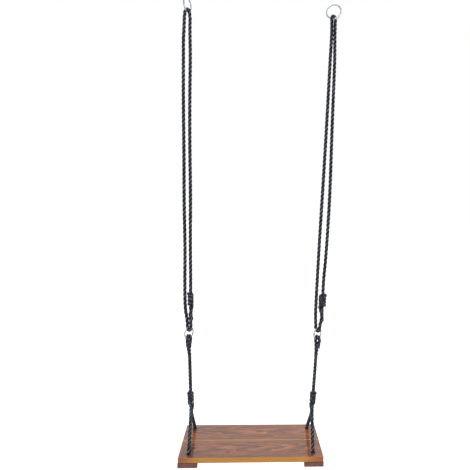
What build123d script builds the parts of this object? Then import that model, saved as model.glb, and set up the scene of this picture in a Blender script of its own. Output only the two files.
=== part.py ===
from build123d import *
import math
import os

os.makedirs("parts", exist_ok=True)

# A wooden swing seat on two ropes, hung from two steel rings. Millimetres, +Z up, +X to the
# right of someone who faces the seat's front edge, which is at -Y. The origin is the middle of
# the line on which the two hooks carry the top rings.

# ---- driving dimensions ----
drop = 1627.0  # from the hooks' line down to the top of the seat

seat_width = 500.0
seat_depth = 200.0
board_thickness = 18.0
board_gap = 0.3  # the joint between the two boards
corner_radius = 4.0
board_round = 2.5
joint_chamfer = 0.8

cleat_width = 68.0
cleat_thickness = 16.0
cleat_slant = 3.0  # along the cleat's lower inner edge
cleat_round = 1.2

hole_clearance = 2.0  # the holes are wider than the rope by this
hole_from_end = 34.0
hole_from_edge = 25.0
hole_mouth_round = 3.0  # where a rope goes in at the top
hole_turn_round = 6.0  # where it turns under the cleat

screw_cover = 4.0  # wood left above each screw's tip
screw_diameter = 4.0
screw_head_diameter = 8.0
screw_head_height = 2.4
screw_sink = 0.3  # the head's face below the wood's
screw_clearance = 0.1
screw_tip = 4.0
screw_slot_width = 1.0
screw_slot_length = 4.4
screw_slot_depth = 1.5
screw_x_offset = 20.0  # from the cleat's middle
screw_y_offset = 50.0  # from the joint between the boards

rope_diameter = 12.0

top_ring_inside = 48.0
top_ring_wire = 6.0
top_ring_spread = 550.0  # between the two top rings
top_ring_turn = {"left": 70.0, "right": -15.0}  # degrees about +Z, from facing the front

lower_ring_inside = 35.0
lower_ring_wire = 5.0
lower_ring_spread = 475.0
lower_ring_height = 390.0  # its centre above the seat
lower_ring_turn = {"left": 50.0, "right": 40.0}

wrap_turn_thickness = 7.0  # a turn of the wrap, pressed flat against the rope inside it
wrap_round = 3.0
adjuster_wrap_ends = {
    "left": ((-235.2, 0.0, -1091.0), (-233.7, 0.0, -1151.0)),
    "right": ((254.4, 0.0, -1091.0), (252.4, 0.0, -1151.0)),
}
seat_wrap_ends = ((226.0, 0.0, 178.5), (222.8, 0.0, 119.0))  # right side, from the seat's top

splice_length = 45.0
splice_top_width = 25.0
splice_top_extra = 2.0  # thicker than one rope by this
splice_bottom_extra = 1.2

# ---- places that follow from them ----
seat_top = -drop
boards_bottom = seat_top - board_thickness
cleat_bottom = boards_bottom - cleat_thickness
cleat_middle = (seat_width - cleat_width) / 2
hole_x = seat_width / 2 - hole_from_end
hole_y = seat_depth / 2 - hole_from_edge
rope_radius = rope_diameter / 2
hole_diameter = rope_diameter + hole_clearance
screw_length = board_thickness + cleat_thickness - screw_cover
wrap_diameter = rope_diameter + 2 * wrap_turn_thickness
splice_top_thickness = rope_diameter + splice_top_extra
splice_bottom_diameter = rope_diameter + splice_bottom_extra
top_ring_centre = {
    side: (sign * top_ring_spread / 2, 0.0, -top_ring_inside / 2)
    for side, sign in (("left", -1), ("right", 1))
}
lower_ring_centre = {
    side: (sign * lower_ring_spread / 2, 0.0, seat_top + lower_ring_height)
    for side, sign in (("left", -1), ("right", 1))
}
top_wire_level = -top_ring_inside - top_ring_wire / 2
lower_ring_upper_level = seat_top + lower_ring_height + (lower_ring_inside + lower_ring_wire) / 2
lower_ring_lower_level = seat_top + lower_ring_height - (lower_ring_inside + lower_ring_wire) / 2

# ---- rope routes ----
# Where a rope goes round a ring: the distance across the wire and the height from its middle,
# over the top of the wire. Under a wire the heights are negative.
top_ring_round = [(-9.4, 3.9), (-3.9, 9.4), (3.9, 9.4), (9.4, 3.9)]
lower_ring_round = [(-9.3, 3.9), (-3.9, 9.8), (3.9, 9.8), (9.3, 3.9)]

# From each end of the turn over the top ring down to the rope's bend: the loop leg, which
# goes on to the lower ring, and the wrap leg, which the adjuster slides on.
top_to_loop_leg = {
    "left": [
        (-284.0, 3.0, -55.0),
        (-284.6, 2.0, -63.5),
        (-285.0, 0.7, -71.0),
        (-285.0, 0.0, -78.0),
        (-285.0, 0.0, -83.7),
    ],
    "right": [
        (272.3, -9.0, -55.0),
        (270.2, -7.0, -63.0),
        (268.2, -3.2, -71.0),
        (267.6, 0.0, -78.0),
        (267.6, 0.0, -83.7),
    ],
}
top_to_wrap_leg = {
    "left": [
        (-266.1, -3.0, -55.0),
        (-265.2, -2.0, -63.5),
        (-264.0, -0.7, -71.0),
        (-263.5, 0.0, -78.0),
        (-263.5, 0.0, -83.7),
    ],
    "right": [
        (277.7, 9.0, -55.0),
        (280.0, 7.0, -63.0),
        (281.9, 3.2, -71.0),
        (282.4, 0.0, -78.0),
        (282.4, 0.0, -83.7),
    ],
}
loop_leg = {
    "left": [
        (-285.0, 0.0, -90.0),
        (-285.0, 0.0, -112.0),
        (-286.4, 0.0, -152.0),
        (-284.2, 0.0, -230.0),
        (-280.6, 1.0, -385.0),
        (-272.6, 1.0, -590.0),
        (-267.9, 0.0, -760.0),
        (-259.6, -1.0, -920.0),
        (-257.8, -1.0, -1030.0),
        (-255.8, 0.0, -1105.0),
        (-253.2, 2.0, -1152.0),
        (-248.2, 3.8, -1179.0),
        (-245.4, 5.2, -1197.0),
        (-244.6, 5.8, -1208.5),
    ],
    "right": [
        (267.6, 0.0, -90.0),
        (267.6, 0.0, -112.0),
        (266.8, 0.0, -150.0),
        (264.4, 0.0, -215.0),
        (260.2, 1.0, -350.0),
        (253.6, 1.0, -530.0),
        (246.4, 0.0, -700.0),
        (239.2, -1.0, -850.0),
        (234.6, -1.0, -970.0),
        (230.8, 0.0, -1080.0),
        (229.0, 2.0, -1150.0),
        (229.4, 4.4, -1182.0),
        (230.8, 6.4, -1199.5),
        (231.4, 7.0, -1209.0),
    ],
}
wrap_leg = {
    "left": [
        (-263.5, 0.0, -90.0),
        (-263.5, 0.0, -112.0),
        (-261.8, 0.0, -152.0),
        (-258.6, 0.0, -225.0),
        (-257.2, -1.0, -370.0),
        (-252.0, -1.0, -560.0),
        (-244.8, 0.0, -730.0),
        (-242.0, 1.0, -890.0),
        (-237.0, 0.0, -1019.0),
    ],
    "right": [
        (282.4, 0.0, -90.0),
        (282.4, 0.0, -112.0),
        (282.9, 0.0, -150.0),
        (282.4, 0.0, -215.0),
        (279.2, -1.0, -350.0),
        (275.8, -1.0, -530.0),
        (274.2, 0.0, -700.0),
        (268.6, 1.0, -850.0),
        (262.0, 0.0, -970.0),
        (256.4, 0.0, -1031.0),
    ],
}
# From the lower ring up to the adjuster wrap's lower end, and the rope's tail below the wrap.
ring_to_wrap = {
    "left": [
        (-230.4, -6.2, -1208.5),
        (-230.8, -7.6, -1196.0),
        (-232.2, -8.8, -1181.0),
        (-233.8, -9.2, -1166.0),
        (-234.2, -9.2, -1151.6),
    ],
    "right": [
        (243.7, -7.4, -1208.5),
        (245.8, -8.2, -1197.0),
        (249.2, -8.6, -1183.0),
        (251.2, -9.0, -1167.0),
        (251.5, -9.0, -1151.6),
    ],
}
tail = {
    "left": [
        (-233.5, 3.1, -1151.6),
        (-233.2, 3.4, -1164.0),
        (-231.8, 4.6, -1178.0),
        (-229.6, 5.6, -1191.0),
    ],
    "right": [
        (253.1, 3.2, -1151.6),
        (253.2, 3.6, -1164.0),
        (253.9, 5.0, -1178.0),
        (255.2, 7.0, -1192.0),
    ],
}
# The eye's leg from the lower ring's wire down to its throat: distance across the wire, and
# height from the wire's middle.
eye_leg = [(9.1, -7.0), (6.4, -16.0), (6.4, -24.0)]

# The seat rope on the right side, from the seat's top. From the wrap down to the front hole,
# through it, along under the cleat to its middle.
front_leg = [
    (222.6, -3.1, 118.6),
    (222.4, -3.5, 108.0),
    (222.0, -6.6, 97.0),
    (221.2, -13.5, 85.0),
    (219.8, -29.0, 64.8),
    (217.8, -54.0, 31.0),
    (216.4, -70.9, 8.8),
    (216.0, -75.0, -3.0),
    (216.0, -74.8, -21.8),
    (216.0, -75.0, -32.7),
    (216.0, -67.4, -40.3),
    (216.0, -56.6, -40.5),
    (216.0, -34.0, -40.3),
]
middle_under_cleat = [(216.0, 0.0, -40.7)]
back_leg = [
    (216.0, 34.0, -40.3),
    (216.0, 56.6, -40.5),
    (216.0, 67.4, -40.3),
    (216.0, 75.0, -32.7),
    (216.0, 74.8, -21.8),
    (216.0, 75.0, -3.0),
    (216.4, 70.9, 8.8),
    (217.8, 54.0, 31.0),
    (219.8, 29.0, 64.8),
    (221.2, 14.5, 85.0),
    (222.0, 9.2, 97.0),
    (222.4, 9.2, 108.0),
    (222.6, 9.2, 118.6),
]

arc_share = 0.45  # of the shorter run, that each arc takes
same_place = 0.01  # edges this near to a level or a radius are the ones meant


def put_round(side, rings, centre, level, points):
    """Points given across a ring's wire and up from it, at the wire's stretch at that level."""
    turn = math.radians(rings[side])
    x, y, _ = centre
    return [
        (x - s * math.sin(turn), y + s * math.cos(turn), level + h) for s, h in points
    ]


def mirrored(points, side):
    """Right-hand points as they are, or mirrored for the left side."""
    sign = 1 if side == "right" else -1
    return [(sign * x, y, z) for x, y, z in points]


def lifted(points):
    """Points given from the seat's top, in the part's own frame."""
    return [(x, y, z + seat_top) for x, y, z in points]


def arc_radii(points):
    """The radius of each corner's arc, from its shorter run and its turn."""
    p = [Vector(*q) for q in points]
    radii = []
    for a, b, c in zip(p, p[1:], p[2:]):
        turn = math.radians((b - a).get_angle(c - b))
        shorter = min((b - a).length, (c - b).length)
        radii.append(arc_share * shorter / math.tan(turn / 2))
    return radii


def rope(name, points):
    """A round tube along straight runs joined by tangent arcs."""
    radii = arc_radii(points)
    path = FilletPolyline(*points, radius=radii) if radii else Line(*points)
    section = Plane(origin=path @ 0, z_dir=path % 0) * Circle(rope_radius)
    tube = sweep(section, path=path)
    expected = math.pi * rope_radius**2 * path.length
    print(
        f"{name}: length {path.length:.1f}, volume {tube.volume / expected:.4f} of section x length,"
        f" radii {[round(r, 1) for r in radii]}"
    )
    return tube


def ring(inside, wire, centre, turn):
    """A round ring of round wire that stands upright, turned about the vertical."""
    upright = Torus((inside + wire) / 2, wire / 2, rotation=(90, 0, 0))
    return Pos(*centre) * Rot(0, 0, turn) * upright


def barrel(ends):
    """The outer shape of a rope's wrap, between the middles of its two end faces."""
    top, bottom = (Vector(*p) for p in ends)
    body = Cylinder(wrap_diameter / 2, (top - bottom).length)
    body = fillet(body.edges().filter_by(GeomType.CIRCLE), wrap_round)
    return Plane(origin=(top + bottom) / 2, z_dir=top - bottom) * body


def splice(side):
    """The eye's splice: wide at the throat, where both of its legs go in, and round below."""
    centre = Vector(*lower_ring_centre[side])
    throat = Vector(centre.X, centre.Y, lower_ring_lower_level + eye_leg[-1][1])
    top = Plane(origin=throat, z_dir=(0, 0, 1)) * Rot(0, 0, lower_ring_turn[side] + 90)
    top = top * Ellipse(splice_top_width / 2, splice_top_thickness / 2)
    bottom = Plane(origin=splice_end(side), z_dir=rope_line(side)) * Circle(splice_bottom_diameter / 2)
    return loft([bottom, top])


def rope_line(side):
    """The direction of the straight rope from the seat wrap up to the splice."""
    top, bottom = (Vector(*p) for p in mirrored(seat_wrap_ends, side))
    return (top - bottom).normalized()


def splice_end(side):
    """The middle of the splice's lower face, on the line of the seat wrap's axis."""
    top = Vector(*lifted(mirrored(seat_wrap_ends, side))[0])
    line = rope_line(side)
    level = lower_ring_lower_level + eye_leg[-1][1] - splice_length
    return top + line * ((level - top.Z) / line.Z)


def screw_places(side):
    """Where a cleat's four screws stand, on its lower face."""
    sign = 1 if side == "right" else -1
    return [
        (sign * cleat_middle + dx, dy)
        for dy in (-screw_y_offset, screw_y_offset)
        for dx in (-screw_x_offset, screw_x_offset)
    ]


def screw_body(extra):
    """A countersunk wood screw that points up, grown by extra all round."""
    head = screw_head_diameter / 2 + extra
    shank = screw_diameter / 2 + extra
    top = screw_length + extra
    profile = Polyline(
        (0, 0),
        (head, 0),
        (shank, screw_head_height),
        (shank, top - screw_tip),
        (0, top),
        close=True,
    )
    return revolve(Plane.XZ * make_face(profile), Axis.Z)


def screw():
    body = screw_body(0)
    slot = Box(screw_slot_length, screw_slot_width, 2 * screw_slot_depth)
    return body - slot - Rot(0, 0, 90) * slot


def screw_room(side):
    """What the screws of one cleat take out of the wood."""
    start = cleat_bottom + screw_sink
    room = screw_body(screw_clearance)
    mouth = Pos(0, 0, -screw_sink) * Cylinder(
        screw_head_diameter / 2 + screw_clearance, 2 * screw_sink
    )
    return [Pos(x, y, start) * (room + mouth) for x, y in screw_places(side)]


def rope_hole(x, y):
    depth = 2 * (board_thickness + cleat_thickness)
    return Pos(x, y, boards_bottom) * Cylinder(hole_diameter / 2, depth)


def swinging_rope(name, points):
    """A rope whose first end is round, about the bend that it swings from."""
    return rope(name, points) + Pos(*points[0]) * Sphere(rope_radius)


def near(value, target):
    return abs(value - target) < same_place


def board(sign):
    """The front board (sign = -1) or the rear board (sign = 1)."""
    inner, outer = sign * board_gap / 2, sign * seat_depth / 2
    wood = Pos(0, (inner + outer) / 2, seat_top - board_thickness / 2) * Box(
        seat_width, abs(outer - inner), board_thickness
    )
    upright = wood.edges().filter_by(Axis.Z)
    wood = fillet([e for e in upright if near(e.center().Y, outer)], corner_radius)
    along = wood.edges().filter_by(Axis.X)
    joint = [e for e in along if near(e.center().Y, inner) and near(e.center().Z, seat_top)]
    wood = chamfer(joint, joint_chamfer)
    rim = [
        e
        for e in wood.edges()
        if (near(e.center().Z, seat_top) or near(e.center().Z, boards_bottom))
        and abs(e.center().Y) > abs(inner) + 2 * joint_chamfer
    ]
    wood = fillet(rim, board_round)
    for x in (-hole_x, hole_x):
        wood = wood - rope_hole(x, sign * hole_y)
    mouths = [
        e
        for e in wood.edges().filter_by(GeomType.CIRCLE)
        if near(e.center().Z, seat_top) and near(e.radius, hole_diameter / 2)
    ]
    wood = fillet(mouths, hole_mouth_round)
    for side in ("left", "right"):
        for room in screw_room(side):
            wood = wood - room
    return wood


def cleat(side):
    """The block under one end of the seat, which ties the two boards together."""
    sign = 1 if side == "right" else -1
    middle = sign * cleat_middle
    wood = Pos(middle, 0, boards_bottom - cleat_thickness / 2) * Box(
        cleat_width, seat_depth, cleat_thickness
    )
    low = [e for e in wood.edges().filter_by(Axis.Y) if near(e.center().Z, cleat_bottom)]
    inner_edge = [e for e in low if abs(e.center().X) < cleat_middle]
    wood = chamfer(inner_edge, cleat_slant)
    ends = [e for e in wood.edges().filter_by(Axis.X) if near(e.center().Z, cleat_bottom)]
    outer_edge = [
        e
        for e in wood.edges().filter_by(Axis.Y)
        if near(e.center().Z, cleat_bottom) and near(abs(e.center().X), seat_width / 2)
    ]
    wood = fillet(outer_edge + ends, cleat_round)
    for y in (-hole_y, hole_y):
        wood = wood - rope_hole(sign * hole_x, y)
    mouths = [
        e
        for e in wood.edges().filter_by(GeomType.CIRCLE)
        if near(e.center().Z, cleat_bottom) and near(e.radius, hole_diameter / 2)
    ]
    wood = fillet(mouths, hole_turn_round)
    for room in screw_room(side):
        wood = wood - room
    return wood


def save(name, shape):
    export_step(shape, f"parts/{name}.step")


def turned_over(points):
    """The same turn under a wire instead of over it."""
    return [(s, -h) for s, h in points]


def top_turn(side):
    """The rope over the top ring's lower wire, from its loop leg to its wrap leg."""
    over = put_round(
        side, top_ring_turn, top_ring_centre[side], top_wire_level, top_ring_round
    )
    if side == "left":
        over.reverse()
    return top_to_loop_leg[side][::-1] + over + top_to_wrap_leg[side]


def loop_route(side):
    """From the bend down the loop leg, under the lower ring's upper wire, up to the wrap."""
    under = put_round(
        side,
        lower_ring_turn,
        lower_ring_centre[side],
        lower_ring_upper_level,
        turned_over(lower_ring_round[::-1]),
    )
    return loop_leg[side] + under + ring_to_wrap[side]


def eye_route(side):
    """The seat rope's eye, from its throat over the lower ring's lower wire and back."""
    across = eye_leg[::-1] + lower_ring_round[::-1]
    across += [(-s, h) for s, h in eye_leg]
    return put_round(
        side, lower_ring_turn, lower_ring_centre[side], lower_ring_lower_level, across
    )


def sling_route(side):
    """From the seat wrap down through the front hole, under the cleat and back up."""
    return lifted(mirrored(front_leg + middle_under_cleat + back_leg, side))


for name, sign in (("front_board", -1), ("rear_board", 1)):
    save(name, board(sign))

for side in ("left", "right"):
    save(f"{side}_cleat", cleat(side))
    screws = [Pos(x, y, cleat_bottom + screw_sink) * screw() for x, y in screw_places(side)]
    save(f"{side}_cleat_screws", Compound(children=screws))

    top_ring = ring(
        top_ring_inside, top_ring_wire, top_ring_centre[side], top_ring_turn[side]
    )
    save(f"{side}_top_ring", top_ring)
    save(f"{side}_rope_turn", rope(f"{side}_rope_turn", top_turn(side)))
    save(f"{side}_loop_leg", swinging_rope(f"{side}_loop_leg", loop_route(side)))
    wrap_route = wrap_leg[side] + [adjuster_wrap_ends[side][0]]
    save(f"{side}_wrap_leg", swinging_rope(f"{side}_wrap_leg", wrap_route))
    save(f"{side}_adjuster_wrap", barrel(adjuster_wrap_ends[side]))
    save(f"{side}_rope_tail", rope(f"{side}_rope_tail", tail[side]))

    lower_ring = ring(
        lower_ring_inside, lower_ring_wire, lower_ring_centre[side], lower_ring_turn[side]
    )
    save(f"{side}_lower_ring", lower_ring)
    save(f"{side}_seat_eye", rope(f"{side}_seat_eye", eye_route(side)))
    save(f"{side}_eye_splice", splice(side))
    seat_wrap = lifted(mirrored(seat_wrap_ends, side))
    straight = [tuple(splice_end(side)), seat_wrap[0]]
    save(f"{side}_seat_rope", rope(f"{side}_seat_rope", straight))
    save(f"{side}_seat_wrap", barrel(seat_wrap))
    save(f"{side}_seat_sling", rope(f"{side}_seat_sling", sling_route(side)))
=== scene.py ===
import math

import bpy
import numpy as np
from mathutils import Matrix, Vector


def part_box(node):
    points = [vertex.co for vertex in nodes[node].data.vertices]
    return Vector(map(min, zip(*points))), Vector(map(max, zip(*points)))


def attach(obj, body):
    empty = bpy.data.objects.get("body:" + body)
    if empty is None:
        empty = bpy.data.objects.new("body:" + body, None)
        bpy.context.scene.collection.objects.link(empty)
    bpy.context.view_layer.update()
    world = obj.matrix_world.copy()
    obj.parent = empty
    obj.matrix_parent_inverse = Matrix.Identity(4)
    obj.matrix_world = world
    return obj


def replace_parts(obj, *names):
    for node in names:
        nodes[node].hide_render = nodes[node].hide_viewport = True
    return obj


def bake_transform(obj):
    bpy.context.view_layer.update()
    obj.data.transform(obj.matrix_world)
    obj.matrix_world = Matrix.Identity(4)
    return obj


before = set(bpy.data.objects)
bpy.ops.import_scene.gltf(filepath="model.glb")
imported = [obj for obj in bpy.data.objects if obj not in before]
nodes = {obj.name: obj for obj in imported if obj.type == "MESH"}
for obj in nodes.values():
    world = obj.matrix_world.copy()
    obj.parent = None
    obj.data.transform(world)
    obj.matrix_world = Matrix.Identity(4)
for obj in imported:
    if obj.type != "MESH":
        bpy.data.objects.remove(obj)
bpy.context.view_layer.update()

mm = 0.001
scene = bpy.context.scene
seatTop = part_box("front_board")[1].z / mm  # levels below are in millimetres, as in the workshop

print("frame loaded, seat top at", round(seatTop, 1))


def linearColour(hexText):
    # sRGB to linear light: a straight line below 0.04045, a power of 2.4 above it.
    part = np.array([int(hexText[i : i + 2], 16) for i in (0, 2, 4)]) / 255
    light = np.where(part <= 0.04045, part / 12.92, ((part + 0.055) / 1.055) ** 2.4)
    return (*light.tolist(), 1.0)


def setInputs(tree, node, inputs):
    # Inputs by name or number: a value, an output to link, or a node whose first output is linked.
    for name, value in inputs.items():
        if isinstance(value, bpy.types.Node):
            value = value.outputs[0]
        if isinstance(value, bpy.types.NodeSocket):
            tree.links.new(value, node.inputs[name])
        else:
            node.inputs[name].default_value = value


def addNode(tree, kind, inputs=None, **settings):
    # One shader node with its settings and its inputs.
    node = tree.nodes.new("ShaderNode" + kind)
    for name, value in settings.items():
        setattr(node, name, value)
    setInputs(tree, node, inputs or {})
    return node


def newMaterial(name):
    # An empty material with its node tree and its shader.
    material = bpy.data.materials.new(name)
    material.use_nodes = True
    tree = material.node_tree
    return material, tree, tree.nodes["Principled BSDF"]


def setRamp(node, stops):
    # Stops are (place, hex colour), from low to high.
    ramp = node.color_ramp
    ramp.elements[0].position, ramp.elements[0].color = stops[0][0], linearColour(stops[0][1])
    ramp.elements[1].position, ramp.elements[1].color = stops[-1][0], linearColour(stops[-1][1])
    for place, colour in stops[1:-1]:
        ramp.elements.new(place).color = linearColour(colour)


def unit(arrows):
    # Each arrow over its own length.
    return arrows / np.linalg.norm(arrows, axis=-1, keepdims=True)


def dot(a, b):
    # The sum of the products of the parts, row by row.
    return np.sum(a * b, axis=-1, keepdims=True)


def smoothStep(value):
    # Three times the square less twice the cube, between 0 and 1.
    t = np.clip(value, 0, 1)
    return t * t * (3 - 2 * t)


def tubeMesh(name, tubes, runs, material):
    # Each tube is an array of rings, rows by sides by three, closed round and capped at both ends.
    # UV: u goes once round the tube, v is the run along it in metres.
    vertices, faces, uvs, first = [], [], [], 0
    for tube, run in zip(tubes, runs):
        rows, sides = tube.shape[:2]
        index = first + np.arange(rows * sides).reshape(rows, sides)
        low, high = index[:-1], index[1:]
        quads = np.stack([low, np.roll(low, -1, 1), np.roll(high, -1, 1), high], -1).reshape(-1, 4)
        faces += quads.tolist()
        faces += [index[0, ::-1].tolist(), index[-1].tolist()]
        u0 = np.broadcast_to(np.arange(sides) / sides, (rows - 1, sides))
        u1 = u0 + 1 / sides
        v0 = np.broadcast_to(run[:-1, None], (rows - 1, sides))
        v1 = np.broadcast_to(run[1:, None], (rows - 1, sides))
        corners = [np.stack(pair, -1) for pair in ((u0, v0), (u1, v0), (u1, v1), (u0, v1))]
        uvs.append(np.stack(corners, 2).reshape(-1, 2))
        uvs.append(np.c_[np.full(sides, 0.5), np.full(sides, run[0])])
        uvs.append(np.c_[np.full(sides, 0.5), np.full(sides, run[-1])])
        vertices.append(tube.reshape(-1, 3))
        first += rows * sides
    mesh = bpy.data.meshes.new(name)
    mesh.from_pydata(np.concatenate(vertices).tolist(), [], faces)
    mesh.uv_layers.new(name="UVMap").data.foreach_set("uv", np.concatenate(uvs).astype("f").ravel())
    mesh.polygons.foreach_set("use_smooth", np.ones(len(mesh.polygons), bool))
    mesh.materials.append(material)
    mesh.validate()
    piece = bpy.data.objects.new(name, mesh)
    scene.collection.objects.link(piece)
    return piece


def turnedSurface(profile, centre, axis, sides, lobes=0, lobeDepth=0.0):
    # A profile of (radius, height) carried round an axis, its radius swelling by a share, lobes
    # times in a turn.
    axis = unit(np.array(axis, float))
    side = unit(np.cross(axis, np.eye(3)[np.argmin(np.abs(axis))]))
    other = np.cross(axis, side)
    angle = np.arange(sides) * 2 * np.pi / sides
    spread = (1 + lobeDepth * np.cos(lobes * angle))[None, :, None]
    radius, height = np.array(profile, float).T[:, :, None, None]
    across = np.cos(angle)[:, None] * side + np.sin(angle)[:, None] * other
    return np.array(centre) + radius * spread * across[None] + height * axis


def smoothLine(points):
    # The rope's middle line: a NURBS of order 3 with the route's points as its control points.
    data = bpy.data.curves.new("line", "CURVE")
    data.dimensions = "3D"
    data.resolution_u = rope["lineSteps"]
    spline = data.splines.new("NURBS")
    spline.points.add(len(points) - 1)
    spline.points.foreach_set("co", np.c_[np.array(points) * mm, np.ones(len(points))].ravel())
    spline.order_u = 3
    spline.use_endpoint_u = True
    holder = bpy.data.objects.new("line", data)
    scene.collection.objects.link(holder)
    mesh = bpy.data.meshes.new_from_object(holder)
    line = np.zeros(3 * len(mesh.vertices))
    mesh.vertices.foreach_get("co", line)
    bpy.data.objects.remove(holder)
    bpy.data.meshes.remove(mesh)
    return line.reshape(-1, 3)


def evenLine(line, step, endRound):
    # The line at even steps of its running length, with a few closer ones at each end, where
    # the strands are rounded off.
    run = np.r_[0, np.cumsum(np.linalg.norm(np.diff(line, axis=0), axis=1))]
    even = np.linspace(0, run[-1], int(run[-1] / step) + 1)
    close = endRound * np.array(rope["endSteps"])
    even = np.unique(np.r_[even, close, run[-1] - close])
    return even, np.stack([np.interp(even, run, line[:, i]) for i in range(3)], 1)


def steadyFrame(line, run):
    # Two arrows across a line that don't twist along it. Every point first gets any arrow across
    # the line; the turns from each to the next are measured, added up and taken out.
    along = unit(np.gradient(line, run, axis=0))
    first = unit(np.cross(along, np.eye(3)[np.argmin(np.abs(along), axis=1)]))
    second = np.cross(along, first)
    carried = first[:-1] - dot(first[:-1], along[1:]) * along[1:]
    turn = np.arctan2(dot(carried, second[1:]), dot(carried, first[1:]))[:, 0]
    angle = np.r_[0, np.cumsum(turn)][:, None]
    across = np.cos(angle) * first + np.sin(angle) * second
    return across, np.cross(along, across)


def coilPoints(top, bottom, radius, lastAngle, hand):
    # A coil by loop, from the top of an axis to its bottom: so many turns as fit at the pitch,
    # each point at the radius round the axis. Over the last part of a turn it dips by a square
    # law, where the rope leaves the coil downwards. The radius makes up for what the NURBS cuts
    # inside its points, by the cosine of half the angle between them.
    top, bottom = np.array(top), np.array(bottom)
    height = np.linalg.norm(top - bottom)
    axis = (bottom - top) / height
    perTurn = coil["perTurn"]
    turns = (height - 2 * coil["inset"] - coil["dip"]) / coil["pitch"]
    count = int(turns * perTurn)
    wide = radius / math.cos(math.pi / perTurn)
    points = []
    for i in range(count - 1):
        left = (count - i) / perTurn  # turns still to go
        angle = lastAngle - hand * left * 2 * math.pi
        fall = coil["inset"] + i / perTurn * coil["pitch"]
        fall += coil["dip"] * max(0, 1 - left / coil["dipTurns"]) ** 2
        offset = (wide * math.cos(angle), wide * math.sin(angle), 0)
        points.append(tuple(top + axis * fall + offset))
    return points


def coilLength(turns, which):
    # A turn is the slanting side of a triangle as long as its circle and as high as the pitch.
    turn = math.hypot(2 * math.pi * coil["radius"][which], coil["pitch"])
    return len(turns) / coil["perTurn"] * turn


# Black polypropylene rope, three strands of spun and split film fibre, laid right-handed. The eye
# # gets a matt near-black with cool pale strand backs, worn and also a painted highlight, grooves
# # darkened by painted shade, and fine ridges along the yarns.
ropeFinish = {
    "paintedGrooveShade": "060709",  # painted shade: the side of a strand turned in to the others, darkened in colour
    "fibre": "101217",
    # pale worn fibre on the strands' backs: wear, and also a painted highlight
    "wornFibreAndHighlight": "6c7b93",
    "wornAndHighlightStops": (0.12, 0.2, 0.42),
    "backShows": (0.3, 1.0),  # cosine round the strand, from the painted groove shade to the back
    "grooveRoughness": 0.85,
    "backRoughness": 0.36,
    "gloss": 0.25,
    "sheen": 0.03,
    "yarns": 9,  # round one strand
    "yarnLay": 26.0,  # mm that a yarn needs to go round its strand
    "filament": 0.5,  # mm, drawn coarser than the real 0.05 mm so that it shows
    "filamentLong": 12,  # times as long as it is wide
    "patchesPerMetre": 60.0,  # of wear
    "ridgeShade": 0.06,
    "filamentRelief": 0.8,  # against the yarns' ridges
    "relief": 0.225,  # mm
    "reliefStrength": 0.8,
}


def ropeMaterial(name, finish):
    # Yarn ridges are the sine of the yarn count round the strand less the run over the yarns'
    #     # lay. Filaments are noise stretched along the yarns, times slow patches of wear; they take
    #     the
    #     # colour from dark fibre to pale worn fibre, which is wear and also a painted highlight. By
    #     the
    #     # cosine of the place round the strand, its side turned in to the others gets a painted shade
    #     # colour, and only its back keeps the pale fibre.
    material, tree, shader = newMaterial(name)
    place = addNode(tree, "SeparateXYZ", {0: addNode(tree, "UVMap", uv_map="UVMap")})
    yarnTurn = 2 * math.pi * finish["yarns"]
    perLay = -yarnTurn / (finish["yarnLay"] * mm)
    around = addNode(tree, "Math", {0: place.outputs["X"], 1: yarnTurn}, operation="MULTIPLY")
    spiral = {0: place.outputs["Y"], 1: perLay, 2: around}
    along = addNode(tree, "Math", spiral, operation="MULTIPLY_ADD")
    ridge = addNode(tree, "Math", {0: along}, operation="SINE")
    stretched = addNode(tree, "CombineXYZ", {"X": along, "Y": place.outputs["Y"]})
    longWays = 1 / (finish["filament"] * finish["filamentLong"] * mm)
    squeezed = addNode(tree, "Mapping", {"Vector": stretched, "Scale": (1.1, longWays, 1)})
    fibres = {"Vector": squeezed, "Scale": 1.0, "Detail": 2.0, "Roughness": 0.6}
    filament = addNode(tree, "TexNoise", fibres)
    spot = addNode(tree, "TexCoord").outputs["Object"]
    wear = {"Vector": spot, "Scale": finish["patchesPerMetre"], "Detail": 3.0, "Roughness": 0.7}
    patch = addNode(tree, "TexNoise", wear)
    mixed = addNode(tree, "Math", {0: filament, 1: patch}, operation="MULTIPLY")
    shade = {0: ridge, 1: finish["ridgeShade"], 2: mixed}
    raised = addNode(tree, "Math", shade, operation="MULTIPLY_ADD")
    colour = addNode(tree, "ValToRGB", {"Fac": raised})
    # dark fibre to pale worn fibre, the pale one both wear and a painted highlight
    tones = (finish["fibre"], finish["fibre"], finish["wornFibreAndHighlight"])
    setRamp(colour, list(zip(finish["wornAndHighlightStops"], tones)))
    turned = addNode(tree, "Math", {0: place.outputs["X"], 1: 2 * math.pi}, operation="MULTIPLY")
    facing = addNode(tree, "Math", {0: turned}, operation="COSINE")
    low, high = finish["backShows"]
    span = {"Value": facing, "From Min": low, "From Max": high}
    back = addNode(tree, "MapRange", span, interpolation_type="SMOOTHSTEP")
    # painted shade: the strand's side turned in to the others gets the dark groove colour
    sides = {0: back, 6: linearColour(finish["paintedGrooveShade"]), 7: colour}
    shaded = addNode(tree, "Mix", sides, data_type="RGBA")
    dull = {"Value": back, "To Min": finish["grooveRoughness"], "To Max": finish["backRoughness"]}
    rough = addNode(tree, "MapRange", dull)
    lines = {0: filament, 1: finish["filamentRelief"], 2: ridge}
    height = addNode(tree, "Math", lines, operation="MULTIPLY_ADD")
    relief = {"Distance": finish["relief"] * mm, "Strength": finish["reliefStrength"]}
    bump = addNode(tree, "Bump", {"Height": height, **relief})
    gloss = {"IOR": 1.49, "Specular IOR Level": finish["gloss"]}
    fuzz = {"Sheen Weight": finish["sheen"], "Sheen Roughness": 0.5}
    setInputs(tree, shader, {"Base Color": shaded.outputs[2], "Roughness": rough, "Normal": bump})
    setInputs(tree, shader, {**gloss, **fuzz})
    return material


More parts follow.
